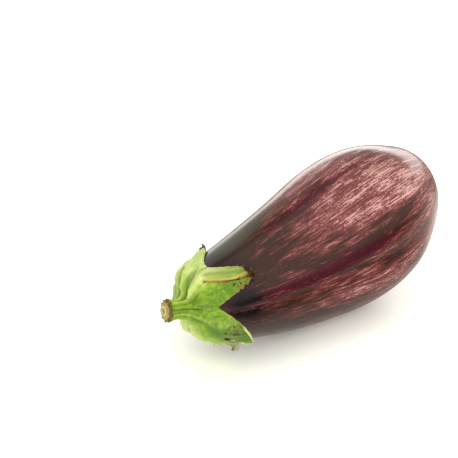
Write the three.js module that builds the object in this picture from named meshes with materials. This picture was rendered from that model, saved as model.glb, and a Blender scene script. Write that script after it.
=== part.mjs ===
// An eggplant as picked, lying on its belly: the purple fruit, and the green calyx that grew in one piece with its stem.
// Millimetres, +Z up, the surface it lies on at z = 0, the stem towards -X and the blossom end towards +X.

import * as THREE from "three";
import { mergeVertices } from "three/addons/utils/BufferGeometryUtils.js";

// The fruit. Its outline is a smooth curve drawn between these control points, each a distance along
// the fruit and a radius there. Its length is 181 and its widest diameter 86.
const FRUIT_OUTLINE = [
  [-1.9, 0],
  [3.8, 19.1],
  [19, 24],
  [41, 29.1],
  [64.5, 34],
  [90, 38.6],
  [116, 43.7],
  [145.8, 42.2],
  [165.8, 29.9],
  [178.2, 21],
  [182.8, 0],
];
const FRUIT_LENGTH = 181;
const BELLY_SAG = 12.4; // how far the middle of the fruit hangs below a straight line between its ends
const BELLY_BOW = 5; // and how far it bows towards +Y
const NECK = { length: 60, rise: 4.4, side: -3.2 }; // the neck's last bend towards the stem
const RESTING_TILT = THREE.MathUtils.degToRad(8.5); // the fruit balances on its belly with its neck lower
const FLAT_DEPTH = 0.5; // how far the belly is pressed flat where it rests
const SCAR = { depth: 1.3, radius: 5 }; // the dimple at the blossom end

// Slight flats and swellings round the fruit: a share of its radius, a count round it and where it starts.
const SWELLINGS = [
  { share: 0.01, count: 2, start: 0.5 },
  { share: 0.007, count: 3, start: 1.1 },
  { share: 0.004, count: 5, start: 2.3 },
];

// The stem. It leans from the fruit's axis by these sideways steps for each step along it.
const STEM = { length: 14.8, radius: 4.9, lean: { y: 0.234, z: 0.32 }, dome: 1.4, flare: 1.1 };

// The stem widens into the calyx from a height above the fruit, past a knee, to a distance along the skin.
// The knee also has a distance from the stem's middle, as a share of its radius. On one side, a half width round
// an angle, the stem spreads more gently, and each of the four is this much more.
const FILLET = { top: 8, knee: 2.4, kneeShare: 1.1, foot: 8 };
const GENTLE_SIDE = { angle: -75, width: 60, top: 3, knee: 3.8, kneeShare: 0.6, foot: 9 };

// The calyx covers the fruit's shoulder. Angles are in degrees round the fruit, from its top towards -Y,
// and each "at" is a distance along the skin from the stem.
const CAP_THICKNESS = 2.7;
const CAP_END = 15.5; // where the cap starts to thin towards the lobes
const LOBE_START = 32;
const LOBE_THICKNESS = 1.8;
const EDGE_THICKNESS = 1;
const FIT_GAP = 0.3;
const NOTCHES = [
  { angle: 6, at: 29 },
  { angle: 67, at: 20 },
  { angle: 134, at: 21 },
  { angle: 222, at: 24 },
  { angle: 293, at: 25 },
];
// A lobe lies between two notches. Its taper is 1 for straight sides and less for sides that leave a round notch,
// its tongue is half the width that it keeps to near its tip, its rise is how far it stands off the fruit there,
// and its curl is how much more its last part turns out.
const LOBES = [
  { tip: { angle: 43, at: 48.5 }, taper: 0.8, tongue: 1.8, rise: 2, curl: 3.4, slit: true },
  { tip: { angle: 142, at: 42.5 }, taper: 0.38, tongue: 4.6, rise: 1.2, curl: 0.6 },
  { tip: { angle: 158, at: 39.5 }, taper: 0.7, tongue: 1.1, rise: 1.2, curl: 4.2 },
  { tip: { angle: 258, at: 47 }, taper: 0.8, tongue: 2.6, rise: 2, curl: 1.5 },
  { tip: { angle: 322, at: 48 }, taper: 0.46, tongue: 1.4, rise: 1, curl: 1 },
];
const CURL_START = 0.78;
const TURN_POWER = 1.3; // how late a lobe turns towards its tip's own angle

// Pleats run from the stem over the shoulder: an angle, a height, a half width in degrees and where each fades out.
const PLEATS = [
  { angle: -47, height: 0.7, width: 8, end: 36 },
  { angle: -17, height: 1.7, width: 6, end: 29 },
  { angle: 14, height: 1.7, width: 7, end: 32 },
  { angle: 50, height: 0.7, width: 9, end: 26 },
  { angle: 94, height: 1, width: 11, end: 36 },
  { angle: 137, height: 0.9, width: 9, end: 24 },
  { angle: 170, height: 0.9, width: 9, end: 30 },
  { angle: 208, height: 1.4, width: 9, end: 30 },
  { angle: 245, height: 1.2, width: 10, end: 34 },
  { angle: 284, height: 0.7, width: 8, end: 30 },
];
// Grooves lie between them: a negative height.
const GROOVES = [
  { angle: -62, height: -0.4, width: 6, end: 26 },
  { angle: -32, height: -0.7, width: 6, end: 30 },
  { angle: -2, height: -1, width: 6, end: 28 },
  { angle: 31, height: -0.5, width: 6, end: 20 },
  { angle: 64, height: -0.8, width: 6, end: 15 },
  { angle: 116, height: -0.5, width: 6, end: 26 },
  { angle: 152, height: -0.7, width: 6, end: 26 },
  { angle: 188, height: -0.8, width: 6, end: 30 },
  { angle: 226, height: -0.6, width: 6, end: 28 },
  { angle: 264, height: -0.6, width: 6, end: 26 },
  { angle: 306, height: -0.4, width: 6, end: 24 },
];
const STEM_RIB_SHARE = 0.55; // of a pleat's height or a groove's, where it runs on along the stem

// Puffs swell the calyx over the shoulder, or hollow it: a centre, a height and half widths.
const PUFFS = [
  { angle: 190, at: 12, height: 1.8, spread: 34, reach: 8 },
  { angle: 110, at: 18, height: 0.5, spread: 24, reach: 7 },
  { angle: 250, at: 20, height: 0.8, spread: 26, reach: 8 },
  { angle: -72, at: 14, height: -1.3, spread: 36, reach: 10 },
];

// One lobe is split lengthwise: the strip on one side of the split lies proud of the rest.
// The split runs through these places, each a distance along the skin and a share of the lobe's half width.
const SLIT = [
  [15.5, 0],
  [21, -0.45],
  [24, -0.22],
  [28, -0.06],
  [33, 0.05],
  [39, 0.2],
  [48, 0.25],
];
const SLIT_STEP = 1.6;
const SLIT_WIDTH = 0.05;

// How finely each surface is drawn.
const FRUIT_ROWS = 46;
const ROWS_CROWD = 0.45;
const FRUIT_COLUMNS = 56;
const DEGREES_PER_COLUMN = 4.2;
const ROWS = { face: 2, stem: 3, fillet: 5, cap: 4, lobe: 9, root: 4 };

const TAU = Math.PI * 2;
const { lerp, smoothstep, degToRad, radToDeg } = THREE.MathUtils;
const steps = (count) => Array.from({ length: count + 1 }, (_, i) => i / count);

// A smooth cubic curve drawn between control points. Beyond each end the next point is mirrored
// across the axis, so the curve meets the axis squarely and the surface turned from it has round ends.
class FruitOutline extends THREE.Curve {
  constructor(points) {
    super();
    const mirrored = ([x, r]) => [x, -r];
    this.points = [mirrored(points[1]), ...points, mirrored(points.at(-2))];
    this.arcLengthDivisions = 2000;
  }

  getPoint(t, target = new THREE.Vector2()) {
    const spans = this.points.length - 3;
    const span = Math.min(Math.floor(t * spans), spans - 1);
    const f = t * spans - span;
    const weights = [
      (1 - f) ** 3 / 6,
      (3 * f ** 3 - 6 * f ** 2 + 4) / 6,
      (-3 * f ** 3 + 3 * f ** 2 + 3 * f + 1) / 6,
      f ** 3 / 6,
    ];
    target.set(0, 0);
    weights.forEach((weight, i) => {
      const [x, r] = this.points[span + i];
      target.x += weight * x;
      target.y += weight * r;
    });
    return target;
  }
}

const outline = new FruitOutline(FRUIT_OUTLINE);
const outlineLength = outline.getLength();

// The fruit's own centre line, bent as the real one is.
function centreLine(x) {
  const share = x / FRUIT_LENGTH;
  const arch = 4 * share * (1 - share);
  const neck = Math.max(0, 1 - x / NECK.length) ** 2;
  return {
    y: BELLY_BOW * arch + NECK.side * neck,
    z: -BELLY_SAG * arch + NECK.rise * neck,
  };
}

function swelling(angle) {
  return SWELLINGS.reduce((sum, s) => sum + s.share * Math.cos(s.count * angle + s.start), 1);
}

// A point on the skin, or a given height above it: "at" is the distance along the skin from the stem.
function skin(at, angle, height = 0) {
  const u = THREE.MathUtils.clamp(at / outlineLength, 0, 1);
  const { x, y: radius } = outline.getPointAt(u);
  const tangent = outline.getTangentAt(u);
  const r = u > 0 && u < 1 ? radius * swelling(angle) + tangent.x * height : 0;
  const along = x - tangent.y * height;
  const centre = centreLine(x);
  return new THREE.Vector3(along, centre.y - r * Math.sin(angle), centre.z + r * Math.cos(angle));
}

// The same point once the fruit is laid down, before it is lowered to the surface.
const tiltAxis = new THREE.Vector3(0, -1, 0);
const tilted = (point) => point.applyAxisAngle(tiltAxis, RESTING_TILT);

// How deep the blossom end's dimple is at a distance along the skin.
const scar = (at) => SCAR.depth * Math.exp(-(((outlineLength - at) / SCAR.radius) ** 2));

// The fruit's rows lie closer together towards its rounded ends.
const fruitRows = steps(FRUIT_ROWS).map(
  (share) => outlineLength * (share - (ROWS_CROWD * Math.sin(TAU * share)) / TAU),
);

function fruitPoint(at, angle) {
  return tilted(skin(at, angle, -scar(at)));
}

// The fruit is lowered until its belly is pressed flat by FLAT_DEPTH.
const lowest = Math.min(
  ...fruitRows.flatMap((at) => steps(FRUIT_COLUMNS).map((share) => fruitPoint(at, TAU * share).z)),
);
function lowered(point) {
  point.z -= lowest + FLAT_DEPTH;
  return point;
}
function pressedFlat(point) {
  point.z = Math.max(0, point.z);
  return point;
}

// Turns a list of triangles, each three points, into a closed geometry with shared vertices.
function closedGeometry(triangles) {
  const positions = new Float32Array(triangles.flat().flatMap((p) => [p.x, p.y, p.z]));
  const loose = new THREE.BufferGeometry();
  loose.setAttribute("position", new THREE.BufferAttribute(positions, 3));
  const merged = mergeVertices(loose, 1e-3);
  const index = merged.index.array;
  const kept = [];
  for (let i = 0; i < index.length; i += 3) {
    const [a, b, c] = [index[i], index[i + 1], index[i + 2]];
    if (a !== b && b !== c && c !== a) kept.push(a, b, c);
  }
  merged.setIndex(kept);
  merged.computeVertexNormals();
  return merged;
}

// The triangles between rows of points. Each row is a list, and a row's last point isn't joined to its first.
function sheet(rows) {
  const triangles = [];
  for (let i = 0; i + 1 < rows.length; i++) {
    for (let j = 0; j + 1 < rows[i].length; j++) {
      const [a, b, c, d] = [rows[i][j], rows[i][j + 1], rows[i + 1][j + 1], rows[i + 1][j]];
      triangles.push([a, b, c], [a, c, d]);
    }
  }
  return triangles;
}

function fruitGeometry() {
  const row = (at) => steps(FRUIT_COLUMNS).map((share) => pressedFlat(lowered(fruitPoint(at, TAU * share))));
  return closedGeometry(sheet(fruitRows.map(row)));
}

// How far round the calyx, in degrees, one angle is from another, from -180 to 180.
const turn = (a, b) => ((((a - b + 180) % 360) + 360) % 360) - 180;

const bump = (distance) => Math.exp(-(distance ** 2));

function pleats(angle, at) {
  return [...PLEATS, ...GROOVES].reduce((sum, p) => {
    const fade = 1 - smoothstep(at, p.end - 14, p.end);
    return sum + p.height * fade * bump(turn(angle, p.angle) / p.width);
  }, 0);
}

function puffs(angle, at) {
  return PUFFS.reduce(
    (sum, p) => sum + p.height * bump(turn(angle, p.angle) / p.spread) * bump((at - p.at) / p.reach),
    0,
  );
}

// The split's place across its lobe, as a share of the lobe's half width.
function slitAcross(at) {
  const i = Math.max(1, SLIT.findIndex(([a]) => a > at));
  const [[a0, s0], [a1, s1]] = at > SLIT.at(-1)[0] ? SLIT.slice(-2) : [SLIT[i - 1], SLIT[i]];
  return at < a0 ? s0 : lerp(s0, s1, (at - a0) / (a1 - a0));
}

// How much higher the proud strip lies than the rest of its lobe.
function slitStep(lobe, column, at, across) {
  if (!lobe.slit || column >= 0) return 0;
  return SLIT_STEP * smoothstep(at, SLIT[1][0], SLIT[2][0] + 2) * smoothstep(across, -1, -0.55);
}

// Each lobe's strip of the calyx is drawn in columns, from -1 at one notch to 1 at the next.
// Where the lobe is split, the columns bend so that column 0 runs along the split.
function acrossLobe(lobe, column, at) {
  const middle = lobe.slit ? slitAcross(at) : 0;
  return column < 0 ? lerp(-1, middle, column + 1) : lerp(middle, 1, column);
}

// A place between the lines from the stem to the two notches.
function capPlace(lobe, column, at) {
  const across = acrossLobe(lobe, column, at);
  const middle = (lobe.from.angle + lobe.to.angle) / 2;
  const half = (lobe.to.angle - lobe.from.angle) / 2;
  return { column, across, at, angle: middle + half * across, out: 0 };
}

// A place on the free part of a lobe, "out" from 0 at the line between its notches to 1 at its tip.
function bladePlace(lobe, column, out) {
  const at = lerp(baseLine(lobe, column), lobe.tip.at, out);
  const across = acrossLobe(lobe, column, at);
  const middle = (lobe.from.angle + lobe.to.angle) / 2;
  const half = (lobe.to.angle - lobe.from.angle) / 2;
  const tongue = radToDeg(lobe.tongue / outline.getPointAt(at / outlineLength).y);
  const halfHere = (half - tongue) * (1 - out ** lobe.taper) + tongue * Math.sqrt(1 - out ** 4);
  const middleHere = lerp(middle, lobe.tip.angle, out ** TURN_POWER);
  return { column, across, at, angle: middleHere + halfHere * across, out };
}

const baseLine = (lobe, column) => lerp(lobe.from.at, lobe.to.at, (column + 1) / 2);

// How far a lobe's underside stands off the skin.
function standOff(lobe, out) {
  const curled = Math.max(0, (out - CURL_START) / (1 - CURL_START));
  return FIT_GAP + lobe.rise * out ** 2 + lobe.curl * curled ** 2;
}

// How far a place on the calyx is towards a lobe's free edge or tip, from 0 to 1.
function nearEdge(across, out) {
  return Math.max(across ** 6 * smoothstep(out, 0, 0.15), out ** 6);
}

// A point on the calyx's underside, or on its outside.
function calyxPoint(lobe, { column, across, at, angle, out }, outside) {
  let height = standOff(lobe, out);
  if (outside) {
    const thickness = lerp(CAP_THICKNESS, LOBE_THICKNESS, smoothstep(at, CAP_END, LOBE_START));
    const relief = pleats(angle, at) + puffs(angle, at) + slitStep(lobe, column, at, across);
    height += lerp(thickness + relief, EDGE_THICKNESS, nearEdge(across, out));
  }
  return tilted(skin(at, degToRad(angle), height));
}

// The stem's own directions: along it, and two across it, towards the fruit's top and towards -Y.
const stemAlong = new THREE.Vector3(-1, STEM.lean.y, STEM.lean.z).normalize();
const stemUp = new THREE.Vector3(0, 0, 1).addScaledVector(stemAlong, -stemAlong.z).normalize();
const stemSide = stemUp.clone().cross(stemAlong);

// A point on the stem's side, or inside it: "share" is the share of its radius.
function stemPoint(height, angle, share = 1, rise = 0) {
  const collar = STEM.flare * smoothstep(height, STEM.length - 5, STEM.length);
  const radius = (STEM.radius + collar + STEM_RIB_SHARE * pleats(angle, 0)) * share;
  const turned = degToRad(angle);
  const point = skin(0, 0)
    .addScaledVector(stemAlong, height + rise)
    .addScaledVector(stemUp, radius * Math.cos(turned))
    .addScaledVector(stemSide, radius * Math.sin(turned));
  return tilted(point);
}

// The fillet between the stem and the calyx, at an angle round the stem.
function filletAt(angle) {
  const gentle = bump(turn(angle, GENTLE_SIDE.angle) / GENTLE_SIDE.width);
  return Object.fromEntries(Object.entries(FILLET).map(([key, value]) => [key, value + GENTLE_SIDE[key] * gentle]));
}

// One line of points over the outside of the calyx, from the middle of the stem's cut end to a lobe's edge.
function outerLine(lobe, column) {
  const { angle } = capPlace(lobe, column, 0);
  const { top, knee, kneeShare, foot } = filletAt(angle);
  const cutEnd = steps(ROWS.face).map((s) => stemPoint(STEM.length, angle, s, STEM.dome * (1 - s ** 2)));
  const side = steps(ROWS.stem).map((s) => stemPoint(lerp(STEM.length, top, s), angle));
  const fillet = new THREE.QuadraticBezierCurve3(
    stemPoint(top, angle),
    stemPoint(knee, angle, kneeShare),
    calyxPoint(lobe, capPlace(lobe, column, foot), true),
  ).getPoints(ROWS.fillet);
  const cap = steps(ROWS.cap)
    .map((s) => lerp(foot, baseLine(lobe, column), s))
    .map((at) => calyxPoint(lobe, capPlace(lobe, column, at), true));
  const blade = bladeSteps.map((out) => calyxPoint(lobe, bladePlace(lobe, column, out), true));
  return [...cutEnd.slice(0, -1), ...side.slice(0, -1), ...fillet.slice(0, -1), ...cap.slice(0, -1), ...blade];
}

// The matching line over the underside, from the lobe's edge back to the fruit's end under the stem.
function innerLine(lobe, column) {
  const blade = bladeSteps.map((out) => calyxPoint(lobe, bladePlace(lobe, column, out), false)).reverse();
  const root = steps(ROWS.cap + ROWS.root)
    .map((s) => lerp(baseLine(lobe, column), 0, s))
    .map((at) => calyxPoint(lobe, capPlace(lobe, column, at), false));
  return [...blade.slice(0, -1), ...root];
}

// A lobe's rows lie closer together towards its tip.
const bladeSteps = steps(ROWS.lobe).map((s) => Math.sin((s * Math.PI) / 2));

function lobeColumns(lobe) {
  const count = 2 * Math.round((lobe.to.angle - lobe.from.angle) / DEGREES_PER_COLUMN / 2);
  const columns = steps(count).map((s) => 1 - 2 * s);
  return lobe.slit ? columns.toSpliced(count / 2 + 1, 0, -SLIT_WIDTH) : columns;
}

function calyxGeometry() {
  const triangles = [];
  LOBES.forEach((shape, i) => {
    const from = NOTCHES[i];
    const next = NOTCHES[(i + 1) % NOTCHES.length];
    const to = { angle: next.angle > from.angle ? next.angle : next.angle + 360, at: next.at };
    const lobe = { ...shape, from, to };
    const columns = lobeColumns(lobe);
    const outer = columns.map((column) => outerLine(lobe, column).map(lowered));
    const inner = columns.map((column) => innerLine(lobe, column).map(lowered));
    const rim = bladeSteps.length;
    const upper = (line) => line.slice(-rim);
    const under = (line) => line.slice(0, rim).reverse();
    triangles.push(
      ...sheet(outer),
      ...sheet(inner),
      ...sheet([upper(outer.at(-1)), under(inner.at(-1))]),
      ...sheet([under(inner[0]), upper(outer[0])]),
    );
  });
  return closedGeometry(triangles);
}

const fruitSkin = new THREE.MeshStandardMaterial({ color: 0x43202b, roughness: 0.28, metalness: 0 });
const calyxGreen = new THREE.MeshStandardMaterial({ color: 0x8fb04a, roughness: 0.6, metalness: 0 });

const fruit = new THREE.Mesh(fruitGeometry(), fruitSkin);
fruit.name = "fruit";
const calyx = new THREE.Mesh(calyxGeometry(), calyxGreen);
calyx.name = "calyx_and_stem";

// The part's origin is on the surface, under the middle of its box.
const eggplant = new THREE.Group();
eggplant.add(fruit, calyx);
const middle = new THREE.Box3().setFromObject(eggplant, true).getCenter(new THREE.Vector3());
eggplant.position.set(-middle.x, -middle.y, 0);

export default eggplant;
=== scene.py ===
"""A striped eggplant lying on a white table: a glossy purple fruit with pale dashes, and its green calyx."""
from math import cos, pi, radians, sin

import bmesh
import bpy
import numpy as np
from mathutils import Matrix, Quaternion, Vector


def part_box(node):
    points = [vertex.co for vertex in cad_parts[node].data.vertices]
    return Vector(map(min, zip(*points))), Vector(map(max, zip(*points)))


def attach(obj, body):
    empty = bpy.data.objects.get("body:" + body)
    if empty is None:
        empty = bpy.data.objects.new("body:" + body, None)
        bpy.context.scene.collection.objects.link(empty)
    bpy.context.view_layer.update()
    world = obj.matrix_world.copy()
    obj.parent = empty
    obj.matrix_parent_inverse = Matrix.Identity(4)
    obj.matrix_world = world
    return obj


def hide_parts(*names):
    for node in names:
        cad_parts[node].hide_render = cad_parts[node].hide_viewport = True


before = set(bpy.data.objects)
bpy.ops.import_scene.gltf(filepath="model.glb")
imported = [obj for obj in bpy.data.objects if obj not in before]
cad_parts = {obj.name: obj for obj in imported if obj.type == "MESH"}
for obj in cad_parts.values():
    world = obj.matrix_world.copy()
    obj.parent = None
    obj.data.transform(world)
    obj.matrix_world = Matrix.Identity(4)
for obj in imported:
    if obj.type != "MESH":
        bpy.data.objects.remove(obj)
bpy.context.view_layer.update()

MM = 0.001
MERGE_DISTANCE = 0.004

# The fruit, in millimetres: its outline's control points, its length and how its centre line bends
FRUIT_OUTLINE = np.array([
    (-1.9, 0), (3.8, 19.1), (19, 24), (41, 29.1), (64.5, 34), (90, 38.6),
    (116, 43.7), (145.8, 42.2), (165.8, 29.9), (178.2, 21), (182.8, 0),
], float)
OUTLINE_POINTS = 6000
FRUIT_LENGTH = 181
BELLY_SAG = 12.4
BELLY_BOW = 5
NECK_LENGTH = 60
NECK_RISE = 4.4
NECK_SIDE = -3.2

# How it rests, and the dimple and scar at its blossom end
RESTING_TILT = radians(8.5)
FLAT_DEPTH = 0.5
SCAR_DEPTH = 1.3
SCAR_RADIUS = 5

# Swellings round the fruit: share of its radius, how many, and where they start
SWELLINGS = ((0.01, 2, 0.5), (0.007, 3, 1.1), (0.004, 5, 2.3))

# Faint long dents: height, count round the fruit, millimetres of length and where each starts. They grow to
# their full height between two distances from either end.
DENTS = ((0.16, 4, 31, 0), (0.1, 7, -19, 2), (0.06, 11, 13, 4))
DENTS_FROM_STEM = (10, 50)
DENTS_FROM_END = (15, 60)
FRUIT_ROWS = 300
FRUIT_COLUMNS = 280
ROW_CROWDING = 0.45

# The stem, which leans by its shares of Y and Z for each step away from the fruit
STEM_LENGTH = 14.8
STEM_RADIUS = 4.9
STEM_LEAN = (0.234, 0.32)
STEM_DOME = 1.4
COLLAR_FLARE = 1.1
COLLAR_LENGTH = 5
PLEATS_ON_STEM = 0.55
GROOVES_ON_STEM = 0.55
GROOVE_SPREAD_ON_STEM = 2.6
BARK_REACH = 4

# The fillet between the stem and the calyx starts at a height on the stem, passes a knee, which is a height
# and a share of the stem's radius, and ends at its foot, a distance along the skin. On its gentle side each
# is this much more.
FILLET = dict(top=8, knee=2.4, knee_share=1.1, foot=8)
GENTLE_SIDE = dict(angle=-75, width=60, top=3, knee=3.8, knee_share=0.6, foot=9)

# The calyx: its thickness, which falls between two distances from the stem, and its gap to the fruit
CAP_THICKNESS = 2.7
CAP_THINS = (15.5, 32)
LOBE_THICKNESS = 1.8
EDGE_THICKNESS = 1
EDGE_SHARPNESS = 12
EDGE_STARTS = (0, 0.15)
TIP_SHARPNESS = 8
FIT_GAP = 0.3
CALYX_RADIUS = 26

# The notches between the lobes: degrees round from the fruit's top towards -Y, and millimetres from the stem
NOTCHES = ((6, 29), (67, 20), (134, 21), (222, 24), (293, 25))
# A lobe's tip is given the same way. Taper and tongue shape its sides, and rise is how far its tip stands off
# the skin. Its curl is the radius and the length of its rolled end, dry is how much of it has dried up, worn
# is how ragged its margin is towards the tip, and lip is how thick its rounded margin is.
LOBES = (
    dict(tip=(42, 54), taper=0.7, tongue=1.5, rise=2, curl=(2.8, 9), dry=9, worn=1, lip=0.4, slit=True),
    dict(tip=(142, 42.5), taper=0.38, tongue=4.6, rise=1.2, curl=(9, 3), dry=-1, worn=0, lip=2, slit=False),
    dict(tip=(158, 44), taper=0.7, tongue=1.1, rise=1.2, curl=(2.9, 9), dry=0, worn=0, lip=0.4, slit=False),
    dict(tip=(258, 47), taper=0.8, tongue=2.6, rise=2, curl=(4, 5), dry=3, worn=0.6, lip=0.8, slit=False),
    dict(tip=(322, 48), taper=0.46, tongue=1.4, rise=1, curl=(4, 4), dry=5, worn=0.2, lip=0.5, slit=False),
)
TURN_POWER = 1.3

# Pleats: degrees round the calyx, height, half width in degrees and their end, millimetres from the stem
PLEATS = (
    (-47, 0.7, 8, 36), (-17, 1.7, 6, 29), (14, 1.7, 7, 32), (50, 0.7, 9, 26), (94, 1, 11, 36),
    (137, 0.9, 9, 24), (170, 0.9, 9, 30), (208, 1.4, 9, 30), (245, 1.2, 10, 34), (284, 0.7, 8, 30),
)
PLEAT_FADE = 14
PLEAT_FULL = 1.7

# Sharp grooves between the pleats: degrees round the calyx, depth, half width on the cap and their end
GROOVES = (
    (-62, 0.8, 3, 26), (-32, 1.3, 3.5, 30), (-2, 1.8, 4, 28), (31, 0.9, 4, 20),
    (64, 1.5, 4, 15), (82, 0.9, 3, 13), (116, 0.7, 4, 24), (152, 0.9, 4, 22),
    (188, 1, 4, 26), (226, 1, 4, 28), (264, 1, 4, 26), (306, 0.6, 3, 24),
)
GROOVE_FLOOR = 2
GROOVE_FADE = 10

# Puffs: degrees round the calyx, half width there, millimetres along, half length and height
PUFFS = ((190, 34, 12, 8, 1.8), (110, 24, 18, 7, 0.5), (250, 26, 20, 8, 0.8), (-72, 36, 14, 10, -1.3))

# Soft wrinkles that run aslant over the calyx, given as the dents are
WRINKLES = ((0.26, 11, 1.9, 0), (0.2, -17, 1.5, 1), (0.14, 26, -1.1, 2.2))

# The lip along a lobe's margin: height, distance of its middle from the edge, half width and where it grows
LIP_HEIGHT = 0.6
LIP_FROM = 1.2
LIP_WIDTH = 0.9
LIP_GROWS = (0.2, 0.6)

# How a margin wanders: waves by height, rate along, and shares of the lobe's half width and of the column,
# and how far they reach
MARGIN_WAVES = ((1, 1.7, 1, 0), (0.6, 3.9, 2, 1), (0.4, 6.1, 0, 0))
MARGIN_POWER = 5
EDGE_WANDER = 0.2
WORN_WANDER = 0.5
WORN_GROWS = (0.3, 0.7)

# A dried tip: its crumple by height, rate round and rate along, and how its roll's radius changes round it
CRUMPLE_WAVES = ((1, 0.5, 1.1), (0.8, 0.8, -1.7), (0.5, 1.6, 2.9))
ROLL_WANDER = 0.25
ROLL_WAVE = (0.3, 1)

# The split in one lobe: distance from the stem and share of the half width. The proud strip lies beside it.
SLIT_AT = (15.5, 21, 24, 28, 33, 39, 48)
SLIT_ACROSS = (0, -0.45, -0.22, -0.06, 0.05, 0.2, 0.25)
SLIT_START = SLIT_AT[1]
SLIT_WIDTH = 0.04
STRIP_START = SLIT_AT[2]
STRIP_RISEN = STRIP_START + 2
STRIP_HEIGHT = 1.1
STRIP_SLOPE_END = -0.55
STRIP_FOLD = 0.35
STRIP_FOLD_START = 0.9
# Where a painted shade line runs along the strip's fold: a column, and its half width
STRIP_CREASE = -0.5
STRIP_CREASE_WIDTH = 0.14

# Prickles: degrees round the calyx, millimetres from the stem, height of the root, length and root's radius
PRICKLES = (
    (174, 27.5, 1.6, 4.4, 1.3),
    (180, 34.5, 0.8, 4.4, 1),
    (236, 21, 2, 2.4, 0.9),
    (262, 28, 1.6, 2.2, 0.9),
)
PRICKLE_ROWS = 7
PRICKLE_SIDES = 12
PRICKLE_START = 0.02
PRICKLE_TAPER = 1.3
PRICKLE_BEND = 0.35
PRICKLE_PALLOR = 1.2

# Rows over the stem's cut end, its side, the fillet, the cap, a lobe, a lobe's rounded rim and the cap's root
FACE_ROWS = 10
STEM_ROWS = 14
FILLET_ROWS = 16
CAP_ROWS = 18
LOBE_ROWS = 40
RIM_ROWS = 6
ROOT_ROWS = 8
DEGREES_PER_COLUMN = 1.25
RIM_BULGE = 0.45
RIM_FADE = 0.08
TINY = 1e-9

# For the colours: a distance that counts as far from an edge, and millimetres for one step of the course
FAR = 20
COURSE_STEP = 40


# Curves that both pieces use
def smoothstep(value, low, high):
    """0 up to low and 1 from high, with a smooth cubic between them."""
    share = np.clip((value - low) / (high - low), 0, 1)
    return share * share * (3 - 2 * share)


def mix(low, high, share):
    return low + (high - low) * share


def bell(value):
    """1 at 0, falling off on both sides as e to the minus square."""
    return np.exp(-(value**2))


def turn(angle, other):
    """How far one angle is from another, in degrees from -180 to 180."""
    return (angle - other + 180) % 360 - 180


def waves(table, around, at):
    """The sum of sine waves that run round and along at once, by their height, count, length and start."""
    total = 0
    for height, count, length, start in table:
        total = total + height * np.sin(count * around + at / length + start)
    return total


def spots(table, angle, at):
    """The sum of bell curves, by their degrees round, half width, place along, half length and height."""
    total = 0
    for middle, width, along, length, height in table:
        total = total + height * bell(turn(angle, middle) / width) * bell((at - along) / length)
    return total


def course_of(around, at):
    """A place by direction round the stem's axis and by distance along, which noise stretches lengthwise."""
    return np.stack([np.cos(around), np.sin(around), at / COURSE_STEP + 0 * around], -1)


# The fruit's form
def spline(points, count):
    """A uniform cubic B-spline, where the next point past each end is mirrored at the axis."""
    mirror = np.array([1, -1])
    held = np.vstack([points[1] * mirror, points, points[-2] * mirror])
    spans = len(points) - 1
    place = np.linspace(0, spans, count)
    span = np.minimum(place.astype(int), spans - 1)
    f = (place - span)[:, None]
    weights = (
        (1 - f) ** 3 / 6,
        (3 * f**3 - 6 * f**2 + 4) / 6,
        (-3 * f**3 + 3 * f**2 + 3 * f + 1) / 6,
        f**3 / 6,
    )
    return sum(weight * held[span + i] for i, weight in enumerate(weights))


outline = spline(FRUIT_OUTLINE, OUTLINE_POINTS)
outline_at = np.concatenate([[0], np.cumsum(np.hypot(*np.diff(outline, axis=0).T))])
outline_length = outline_at[-1]
outline_x, outline_r = outline.T
slope_x = np.gradient(outline_x, outline_at)
slope_r = np.gradient(outline_r, outline_at)


def skin(at, angle, height):
    """The point a height above the skin: along the outline to a distance from the stem, out along its normal
    by the height, turned by the angle from the top towards -Y, and moved to the bent centre line."""
    at, angle, height = np.broadcast_arrays(np.asarray(at, float), angle, height)
    at = np.clip(at, 0, outline_length)
    x = np.interp(at, outline_at, outline_x)
    swelling = 1 + sum(share * np.cos(count * angle + start) for share, count, start in SWELLINGS)
    radius = np.interp(at, outline_at, outline_r) * swelling
    radius = radius + np.interp(at, outline_at, slope_x) * height
    radius = np.where((at > 0) & (at < outline_length), radius, 0)
    along = x - np.interp(at, outline_at, slope_r) * height
    share = x / FRUIT_LENGTH
    arch = 4 * share * (1 - share)
    neck = np.clip(1 - x / NECK_LENGTH, 0, None) ** 2
    y = BELLY_BOW * arch + NECK_SIDE * neck - radius * np.sin(angle)
    z = -BELLY_SAG * arch + NECK_RISE * neck + radius * np.cos(angle)
    return np.stack([along, y, z], -1)


def tilted(points):
    """The fruit tipped nose down by its resting tilt, about the Y axis."""
    x, y, z = np.moveaxis(points, -1, 0)
    c, s = cos(RESTING_TILT), sin(RESTING_TILT)
    return np.stack([x * c - z * s, y, x * s + z * c], -1)


def fruit_grid():
    """Rows crowd towards the rounded ends by a sine. The blossom end has a dimple that fades as a bell curve,
    and the skin has faint long dents: slow waves round the fruit that drift along it."""
    share = np.linspace(0, 1, FRUIT_ROWS + 1)
    at = outline_length * (share - ROW_CROWDING * np.sin(2 * pi * share) / (2 * pi))
    angle = np.linspace(0, 2 * pi, FRUIT_COLUMNS + 1)
    at, angle = np.meshgrid(at, angle, indexing="ij")
    dimple = SCAR_DEPTH * bell((outline_length - at) / SCAR_RADIUS)
    body = smoothstep(at, *DENTS_FROM_STEM) * smoothstep(outline_length - at, *DENTS_FROM_END)
    return at, angle, tilted(skin(at, angle, body * waves(DENTS, angle, at) - dimple))


fruit_at, fruit_angle, fruit_points = fruit_grid()
lowest = fruit_points[..., 2].min() + FLAT_DEPTH
low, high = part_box("fruit")
box_middle = np.array((low + high) / 2) / MM
own_middle = (fruit_points.min((0, 1)) + fruit_points.max((0, 1))) / 2
SHIFT = np.array([box_middle[0] - own_middle[0], box_middle[1] - own_middle[1], -lowest])


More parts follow.
